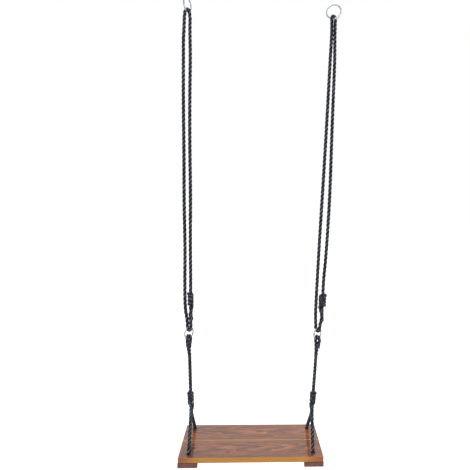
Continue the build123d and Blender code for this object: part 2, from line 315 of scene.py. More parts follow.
laidRope = ropeMaterial("laidBlackPolypropyleneRope", ropeFinish)
meltedEnd = {
    "dark": "141518",
    "light": "26282c",
    "dimplesPerMetre": 500.0,
    "relief": 0.4,  # mm
    "roughness": 0.3,
    "lobes": 3,
    "lobeDepth": 0.06,
    "sides": 36,
    "inner": 6,  # rows back from the end, where its direction is taken
    # share of the rope's radius, and mm past its end
    "profile": [
        (0.93, -3.6),
        (1.02, -3.2),
        (1.05, -1.5),
        (1.02, 0.2),
        (0.88, 1.2),
        (0.55, 1.8),
        (0.12, 1.7),
    ],
}


def sealedEndMaterial(finish):
    # Rope fibre melted with a hot knife: smooth, black and a little glossy, with small dimples.
    material, tree, shader = newMaterial("meltedPolypropyleneEnd")
    spot = addNode(tree, "TexCoord").outputs["Object"]
    pits = {"Vector": spot, "Scale": finish["dimplesPerMetre"], "Detail": 2.0}
    dimple = addNode(tree, "TexNoise", pits)
    colour = addNode(tree, "ValToRGB", {"Fac": dimple})
    setRamp(colour, [(0.3, finish["dark"]), (0.7, finish["light"])])
    relief = {"Height": dimple, "Distance": finish["relief"] * mm, "Strength": 0.6}
    bump = addNode(tree, "Bump", relief)
    setInputs(tree, shader, {"Base Color": colour, "Normal": bump})
    setInputs(tree, shader, {"Roughness": finish["roughness"], "IOR": 1.49})
    return material


sealedEnd = sealedEndMaterial(meltedEnd)

rope = {
    "diameter": 12.0,
    "outside": 13.4,  # over the strands' backs, where nothing presses them in
    "strand": 6.2,  # one strand's diameter
    "upperLay": 49.0,  # mm for one turn of the strands
    "seatLay": 41.0,
    "step": 2.0,
    "sides": 16,
    "endRound": 2.6,  # mm over which each strand closes at the rope's ends
    "endSteps": (0.03, 0.12, 0.3, 0.55, 0.8),  # shares of that, where rows are added
    "endLeast": 0.05,  # of the strand's section, left for its cap
    "lineSteps": 10,  # of the line between two points
}
coil = {
    "radius": {"left": 8.9, "right": 10.5, "seat": 9.0},  # the turns' middle, round the rope inside
    "squeeze": {"left": 0.42, "right": 0.64, "seat": 0.46},  # share of the rope's thickness left
    "perTurn": 14,  # points
    "inset": 4.0,  # mm from the coil's ends to the middle of its first and last turn
    "pitch": 12.3,  # mm
    "dip": 6.0,  # mm, over the last turns
    "dipTurns": 0.6,
    "release": 14.0,  # mm over which the rope gets round again
}


def strandTubes(line, run, lay, squeeze):
    # Each strand's middle goes round the rope's line once per lay, at a radius that leaves the
    # strand's back on the rope's outside. A circle is carried along it, square to the strand, and
    # shrinks at both ends like half a ball. A squeeze is a share for each row and the arrow along
    # which the rope is pressed flat there.
    across, upward = steadyFrame(line, run)
    half = rope["strand"] / 2 * mm
    radius = rope["outside"] / 2 * mm - half
    toEnd = np.minimum(run, run[-1] - run) / (rope["endRound"] * mm)
    closing = 1 - (1 - np.clip(toEnd, 0, 1)) ** 2
    shrink = np.sqrt(np.clip(closing, rope["endLeast"], 1))[:, None, None]
    theta = np.arange(rope["sides"]) * 2 * np.pi / rope["sides"]
    tubes = []
    for k in range(3):
        phase = (2 * np.pi * (run / (lay * mm) + k / 3))[:, None]
        outward = np.cos(phase) * across + np.sin(phase) * upward
        middle = line + radius * outward
        strandAlong = unit(np.gradient(middle, run, axis=0))
        out = unit(outward - dot(outward, strandAlong) * strandAlong)
        side = np.cross(strandAlong, out)
        ring = np.cos(theta)[None, :, None] * out[:, None]
        ring = ring + np.sin(theta)[None, :, None] * side[:, None]
        surface = middle[:, None] + half * shrink * ring
        share, arrow = squeeze
        offset = surface - line[:, None]
        part = np.sum(offset * arrow[:, None], -1, keepdims=True)
        tubes.append(surface - (1 - share)[:, None, None] * part * arrow[:, None])
    return tubes


def coilSqueeze(line, run, top, bottom, coilRun, share):
    # How flat the rope is pressed, and along which arrow: out from the coil's axis. The share
    # goes back to 1 where the rope has left the coil.
    top, bottom = np.array(top) * mm, np.array(bottom) * mm
    axis = unit(bottom - top)
    fromAxis = line - top
    fromAxis = fromAxis - dot(fromAxis, axis) * axis
    arrow = fromAxis / np.maximum(np.linalg.norm(fromAxis, axis=1, keepdims=True), 1e-4)
    low, high = coilRun
    release = coil["release"] * mm
    inside = np.minimum(smoothStep((run - low) / release + 1), smoothStep((high - run) / release + 1))
    return 1 - (1 - share) * inside, arrow


def sealedTip(name, line, atStart, body):
    # The melted end of a rope: a low rounded cap over its last few millimetres, with the three
    # strands still showing as lobes.
    inner = meltedEnd["inner"]
    end, before = (line[0], line[inner]) if atStart else (line[-1], line[-1 - inner])
    profile = np.array(meltedEnd["profile"]) * (rope["diameter"] / 2 * mm, mm)
    lobes, depth, sides = (meltedEnd[key] for key in ("lobes", "lobeDepth", "sides"))
    surface = turnedSurface(profile, end, unit(end - before), sides, lobes, depth)
    run = np.linspace(0, rope["diameter"] / 2 * mm, len(profile))
    tip = tubeMesh(name, [surface], [run], sealedEnd)
    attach(tip, body)
    return tip


# The routes' points are in millimetres.
topRings = {
    "centre": {"left": (-275.0, 0.0, -24.0), "right": (275.0, 0.0, -24.0)},
    "turn": {"left": 70.0, "right": -15.0},
    "slant": {"left": 0.0, "right": 0.72},  # how far the rope slips along the wire, per mm across
    "inside": 48.0,
    "wire": 6.0,
    "weldAngle": {"left": 62.0, "right": 118.0},
}
lowerRings = {
    "centre": {"left": (-237.5, 0.0, -1237.0), "right": (237.5, 0.0, -1237.0)},
    "turn": {"left": 50.0, "right": 40.0},
    "slant": {"left": 0.0, "right": 0.0},
    "inside": 35.0,
    "wire": 5.0,
    "weldAngle": {"left": 5.0, "right": 176.0},
}
topRingRound = [(-9.4, 3.9), (-3.9, 9.4), (3.9, 9.4), (9.4, 3.9)]
lowerRingRound = [(-9.3, 3.9), (-3.9, 9.8), (3.9, 9.8), (9.3, 3.9)]
topToLoopLeg = {
    "left": [(-284.0, 3.0, -55.0), (-284.6, 2.0, -63.5), (-285.0, 0.7, -71.0), (-285.0, 0.0, -78.0)],
    "right": [(266.4, -7.0, -55.0), (267.0, -5.6, -63.0), (267.9, -2.6, -71.0), (268.6, 0.0, -78.0)],
}
topToWrapLeg = {
    "left": [(-266.1, -3.0, -55.0), (-265.2, -2.0, -63.5), (-264.0, -0.7, -71.0), (-263.5, 0.0, -78.0)],
    "right": [(283.6, 7.0, -55.0), (283.0, 5.6, -63.0), (282.0, 2.6, -71.0), (281.4, 0.0, -78.0)],
}
loopLeg = {
    "left": [
        (-285.0, 0.0, -90.0),
        (-285.0, 0.0, -112.0),
        (-286.4, 0.0, -152.0),
        (-284.2, 0.0, -230.0),
        (-280.6, 1.0, -385.0),
        (-272.6, 1.0, -590.0),
        (-267.9, 0.0, -760.0),
        (-259.6, -1.0, -920.0),
        (-257.8, -1.0, -1030.0),
        (-255.8, 0.0, -1105.0),
        (-253.2, 2.0, -1152.0),
        (-248.2, 3.8, -1179.0),
        (-245.4, 5.2, -1197.0),
        (-244.6, 5.8, -1208.5),
    ],
    "right": [
        (268.8, 0.0, -90.0),
        (268.6, 0.0, -112.0),
        (267.4, 0.0, -150.0),
        (264.4, 0.0, -215.0),
        (260.2, 1.0, -350.0),
        (253.6, 1.0, -530.0),
        (246.4, 0.0, -700.0),
        (239.2, -1.0, -850.0),
        (234.6, -1.0, -970.0),
        (230.8, 0.0, -1080.0),
        (229.0, 2.0, -1150.0),
        (229.4, 4.4, -1182.0),
        (230.8, 6.4, -1199.5),
        (231.4, 7.0, -1209.0),
    ],
}
wrapLeg = {
    "left": [
        (-263.5, 0.0, -90.0),
        (-263.5, 0.0, -112.0),
        (-261.8, 0.0, -152.0),
        (-258.6, 0.0, -225.0),
        (-257.2, -1.0, -370.0),
        (-252.0, -1.0, -560.0),
        (-244.8, 0.0, -730.0),
        (-242.0, 1.0, -890.0),
        (-237.0, 0.0, -1019.0),
    ],
    "right": [
        (281.2, 0.0, -90.0),
        (281.2, 0.0, -112.0),
        (281.4, 0.0, -150.0),
        (282.4, 0.0, -215.0),
        (279.2, -1.0, -350.0),
        (275.8, -1.0, -530.0),
        (274.2, 0.0, -700.0),
        (268.6, 1.0, -850.0),
        (262.0, 0.0, -970.0),
        (256.4, 0.0, -1031.0),
    ],
}
adjusterEnds = {
    "left": ((-235.2, 0.0, -1091.0), (-233.7, 0.0, -1151.0)),
    "right": ((254.4, 0.0, -1091.0), (252.4, 0.0, -1151.0)),
}
ringToWrap = {
    "left": [
        (-230.4, -6.2, -1208.5),
        (-230.8, -7.6, -1196.0),
        (-232.2, -8.8, -1181.0),
        (-233.8, -9.2, -1166.0),
    ],
    "right": [
        (243.7, -7.4, -1208.5),
        (245.8, -8.2, -1197.0),
        (249.2, -8.6, -1183.0),
        (251.2, -9.0, -1167.0),
    ],
}
tail = {
    "left": [
        (-233.5, 3.1, -1151.6),
        (-233.2, 3.4, -1164.0),
        (-231.8, 4.6, -1178.0),
        (-229.6, 5.6, -1191.0),
    ],
    "right": [
        (253.1, 3.2, -1151.6),
        (253.2, 3.6, -1164.0),
        (253.9, 5.0, -1178.0),
        (255.2, 7.0, -1192.0),
    ],
}
eyeLeg = [(9.1, -7.0), (6.4, -16.0), (6.4, -24.0)]
seatWrapEnds = ((226.0, 0.0, 178.5), (222.8, 0.0, 119.0))  # right side, from the seat's top
frontLeg = [
    (222.6, -3.1, 118.6),
    (222.4, -3.5, 108.0),
    (222.0, -6.6, 97.0),
    (221.2, -13.5, 85.0),
    (219.8, -29.0, 64.8),
    (217.8, -54.0, 31.0),
    (216.4, -70.9, 8.8),
    (216.0, -75.0, -3.0),
    (216.0, -74.8, -21.8),
    (216.0, -75.0, -32.7),
    (216.0, -67.4, -40.3),
    (216.0, -56.6, -40.5),
    (216.0, -34.0, -40.3),
]
middleUnderCleat = [(216.0, 0.0, -40.7)]
backLeg = [
    (216.0, 34.0, -40.3),
    (216.0, 56.6, -40.5),
    (216.0, 67.4, -40.3),
    (216.0, 75.0, -32.7),
    (216.0, 74.8, -21.8),
    (216.0, 75.0, -3.0),
    (216.4, 70.9, 8.8),
    (217.8, 54.0, 31.0),
    (219.8, 29.0, 64.8),
    (221.2, 14.5, 85.0),
    (222.0, 9.2, 97.0),
    (222.4, 9.2, 106.0),
]
eyeEnd = (-3.4, -34.0)  # the rope's end, inside its splice
splice = {
    "length": 45.0,
    "tuckRadius": 6.4,
    "pullIn": 0.8,  # mm that the radius loses down the splice
    "weave": 0.9,  # mm over and under the strands of the rope inside
    "tuckLay": 36.0,
    "tuckThick": 4.8,
    "tuckThin": 2.2,
    "across": 1.15,  # shares of the thickness, across a tuck and out from the rope
    "out": 0.8,
    "throatAbove": 6.0,
    "throatWide": 3.6,  # mm that the throat is wider, where both legs go in
    "throatReach": 0.55,  # share of the splice that it narrows over
    "aside": 6.6,  # mm out from the wrap's top, where the splice's line is aimed
    "startTurn": 0.5,  # radians
    "rows": 60,
    "sides": 12,
    "bluntness": 14,  # how abruptly a tuck's ends close
    "endLeast": 0.04,
    "joinGap": 12.0,  # mm above and below the splice's end, where the standing rope takes over
    "runPerLength": 1.6,  # the texture's run against the splice's length, as the tucks go round
}


def roundRing(side, rings, level, points):
    # Points given across a ring's wire and up from it, turned with the ring about the upright and
    # slipped along the wire by the slant.
    turn = math.radians(rings["turn"][side])
    slant = rings["slant"][side]
    x, y, _ = rings["centre"][side]
    dx = slant * math.cos(turn) - math.sin(turn)
    dy = slant * math.sin(turn) + math.cos(turn)
    return [(x + s * dx, y + s * dy, level + h) for s, h in points]


def ringLevel(rings, side, upper):
    # The middle of a ring's wire at its top or its bottom.
    half = (rings["inside"] + rings["wire"]) / 2
    return rings["centre"][side][2] + (half if upper else -half)


def forSide(points, side):
    # Right-hand seat points, lifted to the seat's top and mirrored for the left.
    sign = 1 if side == "right" else -1
    return [(sign * x, y, z + seatTop) for x, y, z in points]


def upperRope(side):
    # The rope from its end round the adjuster, by the lower ring and the top ring, to its tail.
    hand = 1 if side == "right" else -1
    wrapTop, wrapBottom = adjusterEnds[side]
    leaving = np.array(ringToWrap[side][-1]) - wrapBottom
    lastAngle = math.atan2(leaving[1], leaving[0])
    turns = coilPoints(wrapTop, wrapBottom, coil["radius"][side], lastAngle, hand)
    under = [(s, -h) for s, h in lowerRingRound]
    under = roundRing(side, lowerRings, ringLevel(lowerRings, side, True), under)
    over = roundRing(side, topRings, ringLevel(topRings, side, False), topRingRound)
    if side == "left":
        over.reverse()
    route = turns + ringToWrap[side][::-1] + under + loopLeg[side][::-1]
    route += topToLoopLeg[side][::-1] + over + topToWrapLeg[side]
    route += wrapLeg[side] + [wrapTop, wrapBottom] + tail[side][1:]
    line = smoothLine(route)
    run, line = evenLine(line, rope["step"] * mm, rope["endRound"] * mm)
    coilRun = (0, coilLength(turns, side) * mm)
    squeeze = coilSqueeze(line, run, wrapTop, wrapBottom, coilRun, coil["squeeze"][side])
    tubes = strandTubes(line, run, rope["upperLay"], squeeze)
    piece = tubeMesh(f"{side}_upper_rope", tubes, [run] * 3, laidRope)
    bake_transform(piece)
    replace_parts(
        piece,
        *[f"{side}_{n}" for n in ("rope_turn", "loop_leg", "wrap_leg", "adjuster_wrap", "rope_tail")],
    )
    tips = [
        sealedTip(f"{side}_rope_tail_tip", line, False, f"{side}_upper_rope"),
        sealedTip(f"{side}_adjuster_tip", line, True, f"{side}_upper_rope"),
    ]
    print(side, "upper rope", round(run[-1], 3), "m")


def seatRope(side):
    # The rope from its spliced eye on the lower ring, down through the seat and back up to its
    # turns round itself.
    sign = 1 if side == "right" else -1
    level = ringLevel(lowerRings, side, False)
    legs = [(-s, h) for s, h in eyeLeg[::-1]] + lowerRingRound + eyeLeg
    eye = roundRing(side, lowerRings, level, [eyeEnd] + legs)
    wrapTop, wrapBottom = forSide(seatWrapEnds, side)
    spliceEnd = level + eyeLeg[-1][1] - splice["length"]
    lean = (wrapTop[0] - wrapBottom[0]) / (wrapTop[2] - wrapBottom[2])
    levels = (spliceEnd + splice["joinGap"], spliceEnd - splice["joinGap"])
    standing = [(wrapTop[0] + lean * (z - wrapTop[2]), 0.0, z) for z in levels]
    lastAngle = math.atan2(backLeg[-1][1], sign * (backLeg[-1][0] - seatWrapEnds[1][0]))
    turns = coilPoints(wrapTop, wrapBottom, coil["radius"]["seat"], lastAngle, -sign)
    route = eye + standing + [wrapTop, wrapBottom]
    route += forSide(frontLeg[1:] + middleUnderCleat + backLeg, side) + turns[::-1]
    line = smoothLine(route)
    run, line = evenLine(line, rope["step"] * mm, rope["endRound"] * mm)
    coilRun = (run[-1] - coilLength(turns, "seat") * mm, run[-1])
    squeeze = coilSqueeze(line, run, wrapTop, wrapBottom, coilRun, coil["squeeze"]["seat"])
    tubes = strandTubes(line, run, rope["seatLay"], squeeze)
    piece = tubeMesh(f"{side}_seat_rope_laid", tubes, [run] * 3, laidRope)
    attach(piece, "seat")
    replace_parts(piece, *[f"{side}_{n}" for n in ("seat_eye", "seat_rope", "seat_wrap", "seat_sling")])
    tip = sealedTip(f"{side}_seat_wrap_tip", line, False, "seat")
    tucks = eyeTucks(side, level)
    print(side, "seat rope", round(run[-1], 3), "m")


def eyeTucks(side, level):
    # The eye's splice: the three strands of the rope's end, tucked into the standing rope. Each
    # goes round the rope against its lay, over one strand and under the next by a cosine three
    # times a turn, and gets thinner. Its section is an oval.
    x, y, _ = lowerRings["centre"][side]
    sign = 1 if side == "right" else -1
    legEnd = level + eyeLeg[-1][1]
    throat = np.array((x, y, legEnd + splice["throatAbove"]))
    bottomX = sign * (seatWrapEnds[0][0] + splice["aside"])
    bottom = np.array((bottomX, 0.0, legEnd - splice["length"]))
    t = np.linspace(0, 1, splice["rows"])[:, None]
    middle = (throat + (bottom - throat) * t) * mm
    length = np.linalg.norm(bottom - throat) * mm
    turn = math.radians(lowerRings["turn"][side])
    wide = np.array((-math.sin(turn), math.cos(turn), 0))
    narrow = np.array((math.cos(turn), math.sin(turn), 0))
    oval = (1 - smoothStep(t / splice["throatReach"])) * splice["throatWide"] * mm
    closed = np.clip(1 - (2 * t - 1) ** splice["bluntness"], splice["endLeast"], 1)
    thick = splice["tuckThick"] + (splice["tuckThin"] - splice["tuckThick"]) * t
    half = (thick / 2 * mm * np.sqrt(closed))[:, :, None]
    theta = (np.arange(splice["sides"]) * 2 * np.pi / splice["sides"])[None, :, None]
    tubes = []
    for k in range(3):
        phase = -2 * np.pi * (t * length / (splice["tuckLay"] * mm) + k / 3) + splice["startTurn"]
        weave = splice["weave"] * np.cos(3 * phase)
        radius = (splice["tuckRadius"] + weave - splice["pullIn"] * t) * mm
        line = middle + (radius + oval) * np.cos(phase) * wide + radius * np.sin(phase) * narrow
        along = unit(np.gradient(line, axis=0))
        out = unit(line - middle)
        out = unit(out - dot(out, along) * along)
        across = np.cross(along, out)
        ring = splice["out"] * np.cos(theta) * out[:, None]
        ring = ring + splice["across"] * np.sin(theta) * across[:, None]
        tubes.append(line[:, None] + half * ring)
    run = t[:, 0] * length * splice["runPerLength"]
    piece = tubeMesh(f"{side}_eye_tucks", tubes, [run] * 3, laidRope)
    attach(piece, "seat")
    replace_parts(piece, f"{side}_eye_splice")
    return piece


for side in ("left", "right"):
    upperRope(side)
    seatRope(side)
print("ropes laid")

# Mild steel wire bent round, butt welded and bright zinc plated. The eye gets a soft silvery
# # mirror with cloudier grey patches, and a bead at the weld.
ringFinish = {"zinc": "b9c3cc", "cloud": "78828c", "roughness": 0.24, "patch": 7.0}
zincGrain = {"perMetre": 900.0, "relief": 0.1, "cloudRougher": 0.2}  # relief in mm
ringShape = {
    "steps": 144,
    "sides": 20,
    "beadWidth": 2.6,  # mm
    "bead": 0.45,  # mm that it stands out, and by how much it waves
    "beadWave": 0.12,
    "waveTurn": 2.4,  # radians per mm
}


def zincMaterial(name, finish):
    # Noise with patches of a given size takes the colour from cloudy grey to bright zinc, and
    # the cloudy places are rougher.
    material, tree, shader = newMaterial(name)
    spot = addNode(tree, "TexCoord").outputs["Object"]
    patches = {"Vector": spot, "Scale": 1 / (finish["patch"] * mm), "Detail": 4.0}
    cloud = addNode(tree, "TexNoise", {**patches, "Roughness": 0.65})
    colour = addNode(tree, "ValToRGB", {"Fac": cloud})
    setRamp(colour, [(0.38, finish["cloud"]), (0.56, finish["zinc"]), (0.8, finish["zinc"])])
    smooth = finish["roughness"]
    span = {"From Min": 0.35, "From Max": 0.65}
    dull = {"To Min": smooth + zincGrain["cloudRougher"], "To Max": smooth}
    rough = addNode(tree, "MapRange", {"Value": cloud, **span, **dull})
    crystals = {"Vector": spot, "Scale": zincGrain["perMetre"], "Detail": 2.0}
    grain = addNode(tree, "TexNoise", crystals)
    relief = {"Height": grain, "Distance": zincGrain["relief"] * mm, "Strength": 0.35}
    bump = addNode(tree, "Bump", relief)
    setInputs(tree, shader, {"Base Color": colour, "Roughness": rough, "Normal": bump})
    shader.inputs["Metallic"].default_value = 1.0
    return material


zincRing = zincMaterial("brightZincPlatedRoundSteel", ringFinish)


def weldedRing(name, rings, side, body):
    # A torus: a circle of the wire's radius carried round the ring's middle circle. At the weld
    # the wire's radius swells by a narrow bell curve, with the slight waves of the bead.
    turn = math.radians(rings["turn"][side])
    wide = np.array((math.cos(turn), math.sin(turn), 0.0))
    deep = np.array((-math.sin(turn), math.cos(turn), 0.0))
    upright = np.array((0.0, 0.0, 1.0))
    middleRadius = (rings["inside"] + rings["wire"]) / 2
    angle = np.arange(ringShape["steps"]) * 2 * np.pi / ringShape["steps"]
    theta = np.arange(ringShape["sides"]) * 2 * np.pi / ringShape["sides"]
    outward = np.cos(angle)[:, None] * wide + np.sin(angle)[:, None] * upright
    fromWeld = (angle - math.radians(rings["weldAngle"][side])) * middleRadius  # mm along the wire
    wave = ringShape["beadWave"] * np.cos(fromWeld * ringShape["waveTurn"])
    bead = np.exp(-((fromWeld / ringShape["beadWidth"]) ** 2)) * (ringShape["bead"] + wave)
    radius = (rings["wire"] / 2 + bead)[:, None, None]
    circle = np.cos(theta)[None, :, None] * outward[:, None]
    circle = circle - np.sin(theta)[None, :, None] * deep
    surface = np.array(rings["centre"][side]) + middleRadius * outward[:, None] + radius * circle
    surface = surface * mm
    rows, sides = surface.shape[:2]
    index = np.arange(rows * sides).reshape(rows, sides)
    onward = np.roll(index, -1, 0)
    faces = np.stack([index, np.roll(index, -1, 1), np.roll(onward, -1, 1), onward], -1)
    mesh = bpy.data.meshes.new(name)
    mesh.from_pydata(surface.reshape(-1, 3).tolist(), [], faces.reshape(-1, 4).tolist())
    mesh.polygons.foreach_set("use_smooth", np.ones(len(mesh.polygons), bool))
    mesh.materials.append(zincRing)
    piece = bpy.data.objects.new(name, mesh)
    scene.collection.objects.link(piece)
    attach(piece, body)
    return piece


for side in ("left", "right"):
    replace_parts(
        weldedRing(f"{side}_top_ring_welded", topRings, side, "top_rings"), f"{side}_top_ring"
    )
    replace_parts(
        weldedRing(f"{side}_lower_ring_welded", lowerRings, side, f"{side}_lower_ring"),
        f"{side}_lower_ring",
    )
print("rings made")

# Flat-sawn pine with an orange-brown stain under thick gloss varnish. The eye gets fine lines of
# darker late wood along the board, warm amber where light comes back from the stain, and a
# clear milky reflection lying over all of it.
pine = {
    "board": ["b46c22", "884c1e", "5e3019", "1c0d09"],  # from the palest early wood to the latest
    "cleat": ["8c4418", "6c3012", "4e200c", "2c0f04"],
    "sanded": "ad7400",  # the long edges, where the stain took less
    "sandedEnd": "863c00",  # and near their ends, where it ran down
    # the joint's fine light line: raw wood colour of the chamfers and a painted highlight where they
    # catch light
    "jointWoodAndHighlight": "c4923c",
    "knot": "30120a",
    "ring": 2.9,  # mm from one growth ring to the next
    "fibre": 1.5,  # mm across a streak of fibre, drawn coarser than the real 0.1
    "roughness": 0.42,
    "coatRoughness": 0.12,
    "tonePlaces": (0.3, 0.42, 0.62, 0.86),
    "thickness": 18.0,  # mm of a board; its pith is given from its underside
    "bendScale": 34.0,  # this and the other scales count waves per metre
    "bend": 0.011,  # m that the rings wander
    "longWays": 0.12,  # how much slower the rings change along the grain
    "fibreWays": 0.03,
    "lateWood": 0.7,  # how much darker a ring gets towards its late wood
    "broadScale": 55.0,
    "broad": 0.9,
    "toneScale": 0.45,  # brings ring, fibre and broad shade together into the ramp's range
    "fibreRelief": 0.5,
    "relief": 0.12,  # mm
    "rippleScale": 90.0,
    "ripple": 0.3,  # mm, of the varnish
}
edge = {
    "reachX": 0.25,  # m, half the seat's width and half its depth
    "reachY": 0.1,
    "from": 0.0026,  # m in from there, where the lighter edge starts
    "to": 0.0006,  # and where it is full
    "endFrom": 0.17,  # m from the middle, where the darker stain of the ends starts
    "fibreWear": (0.95, 0.6),  # share of the edge colour on pale and on dark fibre
    "jointFrom": 0.0008,  # m from the joint
    "jointTo": 0.0032,
    "jointShare": 0.45,
}
knotShape = {
    "longer": 0.55,  # a knot's reach across over its reach along the grain
    "reach": 3.2,  # radii over which the rings are pushed aside
    "push": -0.017,  # m
    "core": 0.25,  # radii that are fully dark
    "dark": 0.75,
}
boardGrain = {
    "front_board": {"pith": (0.03, -0.046, 0.055), "tilt": (0.0, 1.5, 0.9)},
    "rear_board": {"pith": (-0.05, 0.052, 0.062), "tilt": (0.0, -1.3, -0.7)},
}
cleatGrain = {"pith": (0.0, 0.028), "tilt": (0, 1.5, 0.6), "turn": 90.0}
# soft streaks along the grain: x, y, half length and half width in mm, colour and strength
streaks = [
    (42.0, 22.0, 74.0, 4.5, "26130f", 0.75),
    (-94.0, 18.0, 24.0, 5.0, "a5601a", 0.6),
    (115.0, -32.0, 90.0, 3.0, "a87848", 0.4),
    (60.0, 8.0, 60.0, 2.5, "b07c48", 0.35),
    (210.0, 40.0, 22.0, 26.0, "9c5510", 0.55),
    (-212.0, 30.0, 20.0, 22.0, "8a4c16", 0.4),
]
knots = [  # (x, y) on the seat's top and radius, mm
    (-82.0, -70.0, 7.0),
    (-94.0, 18.0, 5.0),
]


def softStreaks(tree, place, shade, fibre):
    # Each streak is an oval: the place from its middle, over its half length and half width, has
    # length 1 at its rim, and the share of colour falls smoothly to nothing there.
    for x, y, halfLength, halfWidth, colour, strength in streaks:
        where = {"Location": (x * mm, y * mm, 0.0), "Scale": (halfLength * mm, halfWidth * mm, 1e3)}
        oval = addNode(tree, "Mapping", {"Vector": place, **where}, vector_type="TEXTURE")
        away = addNode(tree, "VectorMath", {0: oval}, operation="LENGTH").outputs["Value"]
        fall = {"Value": away, "From Min": 1.0, "From Max": 0.0, "To Max": 2 * strength}
        near = addNode(tree, "MapRange", fall, interpolation_type="SMOOTHSTEP")
        share = addNode(tree, "Math", {0: near, 1: fibre}, operation="MULTIPLY")
        tones = {0: share, 6: shade, 7: linearColour(colour)}
        shade = addNode(tree, "Mix", tones, data_type="RGBA").outputs[2]
    return shade


def sandedEdges(tree, place, shade, fibre):
    # Lighter amber on the long edges and the ends, by how far out a point lies, and a fine light
    #     # line along the joint, where the boards' chamfers meet: their raw wood colour with a painted
    #     highlight.
    axes = addNode(tree, "SeparateXYZ", {0: place})
    outer = []
    for name, reach in (("X", edge["reachX"]), ("Y", edge["reachY"])):
        size = addNode(tree, "Math", {0: axes.outputs[name]}, operation="ABSOLUTE")
        span = {"Value": size, "From Min": reach - edge["from"], "From Max": reach - edge["to"]}
        outer.append(addNode(tree, "MapRange", span, interpolation_type="SMOOTHSTEP"))
    either = addNode(tree, "Math", {0: outer[0], 1: outer[1]}, operation="MAXIMUM")
    most, least = edge["fibreWear"]
    wear = {"From Min": 0.3, "From Max": 0.7, "To Min": most, "To Max": least}
    worn = addNode(tree, "MapRange", {"Value": fibre, **wear})
    share = addNode(tree, "Math", {0: either, 1: worn}, operation="MULTIPLY")
    length = addNode(tree, "Math", {0: axes.outputs["X"]}, operation="ABSOLUTE")
    span = {"Value": length, "From Min": edge["endFrom"], "From Max": edge["reachX"]}
    toEnd = addNode(tree, "MapRange", span, interpolation_type="SMOOTHSTEP")
    tones = {0: toEnd, 6: linearColour(pine["sanded"]), 7: linearColour(pine["sandedEnd"])}
    stain = addNode(tree, "Mix", tones, data_type="RGBA").outputs[2]
    bare = addNode(tree, "Mix", {0: share, 6: shade, 7: stain}, data_type="RGBA").outputs[2]
    aside = addNode(tree, "Math", {0: axes.outputs["Y"]}, operation="ABSOLUTE")
    span = {"Value": aside, "From Min": edge["jointFrom"], "From Max": edge["jointTo"]}
    line = addNode(tree, "MapRange", {**span, "To Min": edge["jointShare"], "To Max": 0.0})
    tones = {0: line, 6: bare, 7: linearColour(pine["jointWoodAndHighlight"])}
    return addNode(tree, "Mix", tones, data_type="RGBA").outputs[2]


